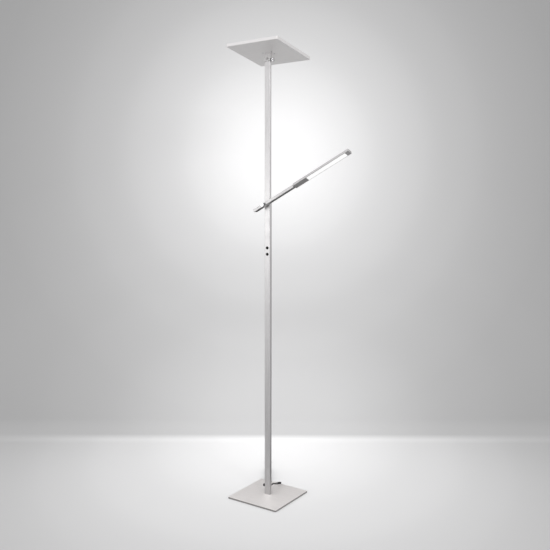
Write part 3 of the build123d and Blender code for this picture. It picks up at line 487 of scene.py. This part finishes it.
def paper_shade(tree, position, distance):
    """The floor's painted pool of light below, and the wall's two painted pools of light above the curve, the
    low one painted bounce light.
    """
    high = pool_of_light(tree, position, heading(distance, 0.01, WALL_POOL_HEIGHT), WALL_POOL)
    low = pool_of_light(tree, position, heading(distance, 0.0, BOUNCE_HEIGHT), BOUNCE_POOL, wide=1.6)
    wall = vector_maths(tree, "ADD", high, low)
    nearer = distance - FLOOR_POOL_BEFORE_WALL
    floor = pool_of_light(tree, position, heading(nearer, 0.0, 0.0), FLOOR_POOL, deep=1.25)
    rise = remap(tree, axis_part(tree, position, "Z"), 0.008, 0.026, 0.0, 1.0)
    return mix_colours(tree, rise, floor, wall)


def paper_in_mirrors(tree, position, mirrored):
    """How bright each place of the paper is painted where metal mirrors it."""
    away = vector_maths(tree, "DISTANCE", position, DIM_CENTRE)
    around = remap(tree, away, *DIM_EDGE, mirrored * DIM_SHARE, mirrored)
    return maths(tree, "ADD", around, remap(tree, away, *FAR_EDGE, 0.0, FAR_SHARE))


def backdrop_material(tint, glow, mirrored, distance):
    """Pale studio paper with painted pools of light in its colour and glow, painted darker where metal
    mirrors it; it isn't seen from behind.
    """
    material, tree, shader = new_material("Studio paper")
    geometry = tree.nodes.new("ShaderNodeNewGeometry")
    position = geometry.outputs["Position"]
    # Painted reflection: the paper is painted darker where metal mirrors it.
    dimmed = vector_maths(tree, "MULTIPLY", paper_in_mirrors(tree, position, mirrored), tint)
    colour = mix_colours(tree, in_mirrors(tree), tint, dimmed)
    paper = vector_maths(tree, "MULTIPLY", paper_shade(tree, position, distance), colour)
    # The paper's painted pools of light go into both its colour and its glow; the paper glows though it is no
    # lamp.
    wire(tree, paper, shader.inputs["Base Color"])
    wire(tree, paper, shader.inputs["Emission Color"])
    shader.inputs["Emission Strength"].default_value = glow
    shader.inputs["Roughness"].default_value = 0.85
    shader.inputs["Specular IOR Level"].default_value = 0.15
    clear = tree.nodes.new("ShaderNodeBsdfTransparent")
    sides = tree.nodes.new("ShaderNodeMixShader")
    wire(tree, geometry.outputs["Backfacing"], sides.inputs["Fac"])
    wire(tree, shader.outputs["BSDF"], sides.inputs[1])
    wire(tree, clear.outputs["BSDF"], sides.inputs[2])
    output = next(node for node in tree.nodes if node.type == "OUTPUT_MATERIAL")
    wire(tree, sides.outputs["Shader"], output.inputs["Surface"])
    return material


# ---- stage: light ----
SKY_TINT = (0.995, 0.99, 1.0, 1.0)
SKY_RISE = 0.42  # how much stronger the even light is overhead
POST_MIDDLE = 1.12


def studio_sky(world, daylight):
    """Even light that grows stronger from the horizon up."""
    world.use_nodes = True
    tree = world.node_tree
    sky = tree.nodes["Background"]
    place = tree.nodes.new("ShaderNodeTexCoord")
    up = axis_part(tree, place.outputs["Generated"], "Z")
    wire(tree, remap(tree, up, 0.0, 0.4, daylight, daylight + SKY_RISE), sky.inputs["Strength"])
    sky.inputs["Color"].default_value = SKY_TINT


def soft_box(name, place, aim, size, power):
    """A square soft light."""
    data = bpy.data.lights.new(name, "AREA")
    data.shape = "SQUARE"
    data.size = size
    data.energy = power
    lamp = bpy.data.objects.new(name, data)
    turned = (aim - place).to_track_quat("-Z", "Y").to_matrix()
    lamp.matrix_world = Matrix.Translation(place) @ turned.to_4x4()
    bpy.context.scene.collection.objects.link(lamp)
    return lamp


def place_lights():
    soft_box("Overhead soft box", heading(1.6, -0.3, 3.4), Vector((0, 0, 1)), 1.8, 3.0)
    soft_box(
        "Front left soft box", Vector((-1.5, -2.1, POST_MIDDLE)), Vector((0, 0, POST_MIDDLE)), 0.45, 2.5
    )
    soft_box("High right soft box", Vector((1.7, -0.9, 2.3)), Vector((0, 0, 0)), 0.5, 7.0)
    # This one hangs behind the lamp, back to the wall, so that no edge of its light falls on the wall.
    corner = Vector((0.75, 1.1, 1.6))
    from_wall = heading(0.0, 0.0, 0.0) - heading(1.0, 0.0, 0.0)
    soft_box("Right soft box", corner, corner + from_wall, 1.3, 1.12).visible_camera = False


class LAMP_OT_stage(bpy.types.Operator):
    """Sets the camera, the paper backdrop and the studio light"""

    bl_idname = "lamp.stage"
    bl_label = "Studio"

    def execute(self, context):
        studio = context.scene.lamp_studio
        context.scene.view_settings.view_transform = "Standard"
        place_camera()
        distance = studio.wall_distance
        paper = bpy.data.objects.new("Backdrop", backdrop_mesh(distance))
        context.scene.collection.objects.link(paper)
        look = backdrop_material(list(studio.paper), studio.paper_glow, studio.mirrored, distance)
        paper.data.materials.append(look)
        context.scene.world = bpy.data.worlds.new("Studio")
        studio_sky(context.scene.world, studio.daylight)
        place_lights()
        return {"FINISHED"}


# ---- finishes of the pieces ----
ARM_ANGLE = 27.2  # degrees above level, as packed
PLATE_NICKEL = (0.90, 0.87, 0.852)
TRAY_NICKEL = (0.82, 0.806, 0.80)
FORK_NICKEL = (0.82, 0.808, 0.805)
POLISHED_CHROME = (0.44, 0.44, 0.45)
KNOB_CHROME = (0.86, 0.86, 0.87)
TURNED_STEEL = (0.56, 0.56, 0.57)
SCREW_STEEL = (0.55, 0.55, 0.56)
SPREADER_SHEET = (0.75, 0.75, 0.75)
STRIP_WHITE = (0.85, 0.85, 0.83)
MATT_BLACK = (0.02, 0.02, 0.02)
ALONG_X = (0, 90, 0)  # turn of a finish that is brushed along X


class LAMP_OT_post_and_base(bpy.types.Operator):
    """Finishes the base, both tubes of the post and what holds them"""

    bl_idname = "lamp.post_and_base"
    bl_label = "Post and base"

    def execute(self, context):
        finish = context.scene.lamp_finish
        nickel = list(finish.nickel)
        post = brushed_metal("Brushed nickel post", nickel, finish.satin)
        plate = brushed_metal(
            "Brushed nickel plate",
            PLATE_NICKEL,
            0.5,
            turn=ALONG_X,
            contrast=0.06,
            metallic=0.3,
            # painted shade on the plate's upright cut edges
            painted_edge_shade=0.3,
            # the plate is painted darker where other metal mirrors it
            mirrored=0.55,
        )
        dress(post, "lower_post", "upper_post")
        dress(plate, "base_plate")
        dress(moulded("Foam sheet", (0.03, 0.03, 0.032), 0.85, size=2.0), "base_pad")
        dress(moulded("Black plastic", (0.016, 0.016, 0.017), 0.42), "post_clamp_screw")
        steel = plain_metal("Turned steel", TURNED_STEEL, 0.3)
        dress(steel, "base_spigot", "spigot_screws", "joiner_screws", "insert_screw")
        dress(plain_metal("Cast zinc", tone(nickel, 0.95), 0.36), "post_joiner", "hinge_insert")
        return {"FINISHED"}


class LAMP_OT_controls(bpy.types.Operator):
    """Finishes the push buttons and what lies behind them in the post"""

    bl_idname = "lamp.controls"
    bl_label = "Buttons and wiring"

    def execute(self, context):
        button = moulded("Button plastic", (0.004, 0.004, 0.004), 0.6, size=0.8, relief=0.1, shine=0.15)
        white = moulded("White plastic", (0.78, 0.78, 0.76), 0.5)
        dress(button, "button_upper", "button_lower")
        dress(moulded("Carrier plastic", MATT_BLACK, 0.55), "button_carrier")
        dress(moulded("Board lacquer", (0.02, 0.14, 0.06), 0.35, relief=0.05), "control_board")
        dress(white, "led_driver", "driver_loom", "head_loom", "arm_lead")
        return {"FINISHED"}


class LAMP_OT_reading_light(bpy.types.Operator):
    """Finishes the reading arm, its pivot and its light"""

    bl_idname = "lamp.reading_light"
    bl_label = "Reading light"

    def execute(self, context):
        finish = context.scene.lamp_finish
        along = (0, 90 - ARM_ANGLE, 0)
        dark_nickel = tone(finish.nickel, 0.85)
        arm = brushed_metal("Brushed nickel arm", dark_nickel, finish.satin, turn=along, contrast=0.1)
        dress(arm, "arm_bar", "arm_tail_cap", "arm_swivel_plug")
        dress(arm, "reading_neck", "reading_housing", "reading_end_cap")
        dress(plain_metal("Polished chrome", POLISHED_CHROME, 0.16), "pivot_boss", "arm_knob")
        dress(plain_metal("Bolt steel", SCREW_STEEL, 0.3), "pivot_bolt", "swivel_set_screw")
        dress(moulded("Washer fibre", MATT_BLACK, 0.5), "pivot_washers")
        dress(moulded("Bush nylon", (0.8, 0.8, 0.77), 0.45), "arm_bush")
        dress(moulded("Strip lacquer", STRIP_WHITE, 0.4), "reading_led_strip")
        dress(lit_panel("Reading panel", (1.0, 1.0, 0.995), finish.reading_glow), "reading_diffuser")
        return {"FINISHED"}


class LAMP_OT_torchiere_head(bpy.types.Operator):
    """Finishes the torchiere head and its tilt hinge"""

    bl_idname = "lamp.torchiere_head"
    bl_label = "Torchiere head"

    def execute(self, context):
        finish = context.scene.lamp_finish
        tray = brushed_metal(
            "Brushed nickel tray", TRAY_NICKEL, 0.42, turn=ALONG_X, contrast=0.06, metallic=0.5
        )
        fork = brushed_metal(
            "Brushed nickel fork", FORK_NICKEL, 0.4, contrast=0.05, relief=0.1, metallic=0.4
        )
        dress(tray, "head_tray")
        dress(fork, "tilt_bracket", "tilt_bolt")
        dress(plain_metal("Knob chrome", KNOB_CHROME, 0.1), "tilt_knob")
        dress(plain_metal("Screw steel", SCREW_STEEL, 0.3), "bracket_screws", "spreader_screws")
        dress(moulded("Ring fibre", MATT_BLACK, 0.5), "knob_washer")
        dress(moulded("Frame plastic", (0.8, 0.8, 0.79), 0.5), "tilt_washers", "diffuser_frame")
        dress(plain_metal("Spreader sheet", SPREADER_SHEET, 0.4), "heat_spreader")
        dress(moulded("Bar lacquer", STRIP_WHITE, 0.4), "led_bars")
        dress(lit_panel("Head panel", (1.0, 0.985, 0.95), finish.head_glow), "head_diffuser")
        return {"FINISHED"}


# ---- mains lead, with the route of the CAD tube ----
HANK_TURNS = 4
HANK_RUN = 0.106
HANK_TURN_RADIUS = 0.0108
HANK_STEP = 0.006
HANK_START = 0.1545
HANK_AZIMUTH = 34.8
HANK_END = HANK_START + HANK_RUN + 2 * HANK_TURN_RADIUS
HANK_MIDDLE = (HANK_START + HANK_END) / 2
HANK_EASE = 2 * HANK_TURN_RADIUS + 0.001  # from an end to where the run starts to draw in
HANK_ENTRY = HANK_START - 0.0135
JOIN_DIAMETERS = 3.7  # lead diameters from the first bend to where the turns start
WAIST_HALF = 0.014
GAP = 0.0003
FLOOR_LINE = 0.0038
HANK_TOP = FLOOR_LINE + HANK_TURNS * HANK_STEP
PLUG_LINE = 0.0068
PLUG_START = HANK_END + 0.066
LEAD_POINTS = [
    (0.0, 0.027, 0.039),
    (0.0, 0.039, 0.039),
    (0.0, 0.063, 0.029),
    (-0.001, 0.086, 0.0226),
    (-0.007, 0.108, 0.0166),
    (-0.022, 0.124, 0.0112),
    (-0.038, 0.1242, 0.005),
    (-0.052, 0.1228, 0.0029),
]


def hank_point(along, across, z):
    """A point by its way along the hank from the post and its way across it."""
    a = math.radians(HANK_AZIMUTH)
    return (
        across * math.cos(a) - along * math.sin(a),
        along * math.cos(a) + across * math.sin(a),
        z,
    )


def hank_points(diameter):
    """The turns of the hank: long loops that rise a little on the way back, drawn in at the tie."""
    wide, near, far = HANK_TURN_RADIUS, HANK_START, HANK_END
    first, last = HANK_MIDDLE - WAIST_HALF, HANK_MIDDLE + WAIST_HALF
    waist = diameter / 2 + GAP
    join = near + wide + JOIN_DIAMETERS * diameter
    points = []
    for turn in range(HANK_TURNS):
        z = FLOOR_LINE + turn * HANK_STEP
        entry = join if turn == 0 else near + HANK_EASE
        out = [(entry, wide), (first, waist), (last, waist), (far - HANK_EASE, wide), (far, wide)]
        points += [hank_point(s, t, z) for s, t in out]
        rise = [(far, wide, 0.0), (far - HANK_EASE, wide, 0.0), (last, waist, 0.3)]
        rise += [(first, waist, 0.7), (near + HANK_EASE, wide, 1.0), (near, wide, 1.0)]
        points += [hank_point(s, -t, z + share * HANK_STEP) for s, t, share in rise]
        points.append(hank_point(near, wide, z + HANK_STEP))
    leave = [(join, wide), (first, waist), (last, waist)]
    return points + [hank_point(s, t, HANK_TOP) for s, t in leave]


def route_points(diameter):
    """The lead's route: down to the base's rear edge, round the hank and on to the plug."""
    entry = hank_point(HANK_ENTRY, HANK_TURN_RADIUS, FLOOR_LINE)
    tail = [
        (HANK_END - 0.020, 0.0075, HANK_TOP),
        (HANK_END + 0.008, 0.004, HANK_TOP),
        (HANK_END + 0.024, 0.0005, HANK_TOP - 0.008),
        (HANK_END + 0.040, 0.0, PLUG_LINE + 0.004),
        (PLUG_START - 0.013, 0.0, PLUG_LINE),
        (PLUG_START, 0.0, PLUG_LINE),
    ]
    return [*LEAD_POINTS, entry, *hank_points(diameter), *(hank_point(*place) for place in tail)]


def lead_curve(points, thickness):
    """A round lead along the route, with capped ends."""
    curve = bpy.data.curves.new("Mains_lead", "CURVE")
    curve.dimensions = "3D"
    curve.bevel_depth = thickness / 2
    curve.bevel_resolution = 5
    curve.resolution_u = 10
    curve.use_fill_caps = True
    spline = curve.splines.new("NURBS")
    spline.points.add(len(points) - 1)
    for point, place in zip(spline.points, points):
        point.co = (*place, 1.0)
    spline.order_u = 3
    spline.use_endpoint_u = True
    return curve


class LAMP_OT_mains_lead(bpy.types.Operator):
    """Lays the mains lead along its route and finishes its plug, tie and strain relief"""

    bl_idname = "lamp.mains_lead"
    bl_label = "Mains lead"

    def execute(self, context):
        thickness = context.scene.lamp_lead.thickness
        points = route_points(thickness)
        lead = bpy.data.objects.new("Mains_lead", lead_curve(points, thickness))
        context.scene.collection.objects.link(lead)
        sheath = moulded("Lead sheath", (0.02, 0.02, 0.021), 0.45, size=1.5, relief=0.08)
        lead.data.materials.append(sheath)
        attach(lead, "lamp")
        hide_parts("power_cord", "cord_hank", "cord_tail")
        dress(moulded("Plug vinyl", (0.018, 0.018, 0.019), 0.4), "strain_relief", "plug_body")
        dress(plain_metal("Plug brass", (0.72, 0.6, 0.36), 0.25), "plug_pins")
        dress(moulded("Tie plastic", (0.03, 0.03, 0.03), 0.5), "cord_tie")
        return {"FINISHED"}


# ---- panel and add-on ----
STEPS = (
    LAMP_OT_stage,
    LAMP_OT_post_and_base,
    LAMP_OT_controls,
    LAMP_OT_reading_light,
    LAMP_OT_torchiere_head,
    LAMP_OT_mains_lead,
)
SETTINGS = {"lamp_finish": LampFinish, "lamp_lead": LampLead, "lamp_studio": LampStudio}


class LAMP_PT_panel(bpy.types.Panel):
    """The lamp's finishes and steps"""

    bl_label = "Torchiere lamp"
    bl_idname = "LAMP_PT_panel"
    bl_space_type = "VIEW_3D"
    bl_region_type = "UI"
    bl_category = "Torchiere"

    def draw(self, context):
        for settings in SETTINGS:
            values = getattr(context.scene, settings)
            for label in values.__annotations__:
                self.layout.prop(values, label)
        for step in STEPS:
            self.layout.operator(step.bl_idname)


def register():
    for kind in (*SETTINGS.values(), *STEPS, LAMP_PT_panel):
        bpy.utils.register_class(kind)
    for label, kind in SETTINGS.items():
        setattr(bpy.types.Scene, label, bpy.props.PointerProperty(type=kind))


def unregister():
    for label in SETTINGS:
        delattr(bpy.types.Scene, label)
    for kind in reversed((*SETTINGS.values(), *STEPS, LAMP_PT_panel)):
        bpy.utils.unregister_class(kind)


def main():
    register()
    bpy.ops.lamp.stage()
    bpy.ops.lamp.post_and_base()
    bpy.ops.lamp.controls()
    bpy.ops.lamp.reading_light()
    bpy.ops.lamp.torchiere_head()
    bpy.ops.lamp.mains_lead()


if __name__ == "__main__":
    main()
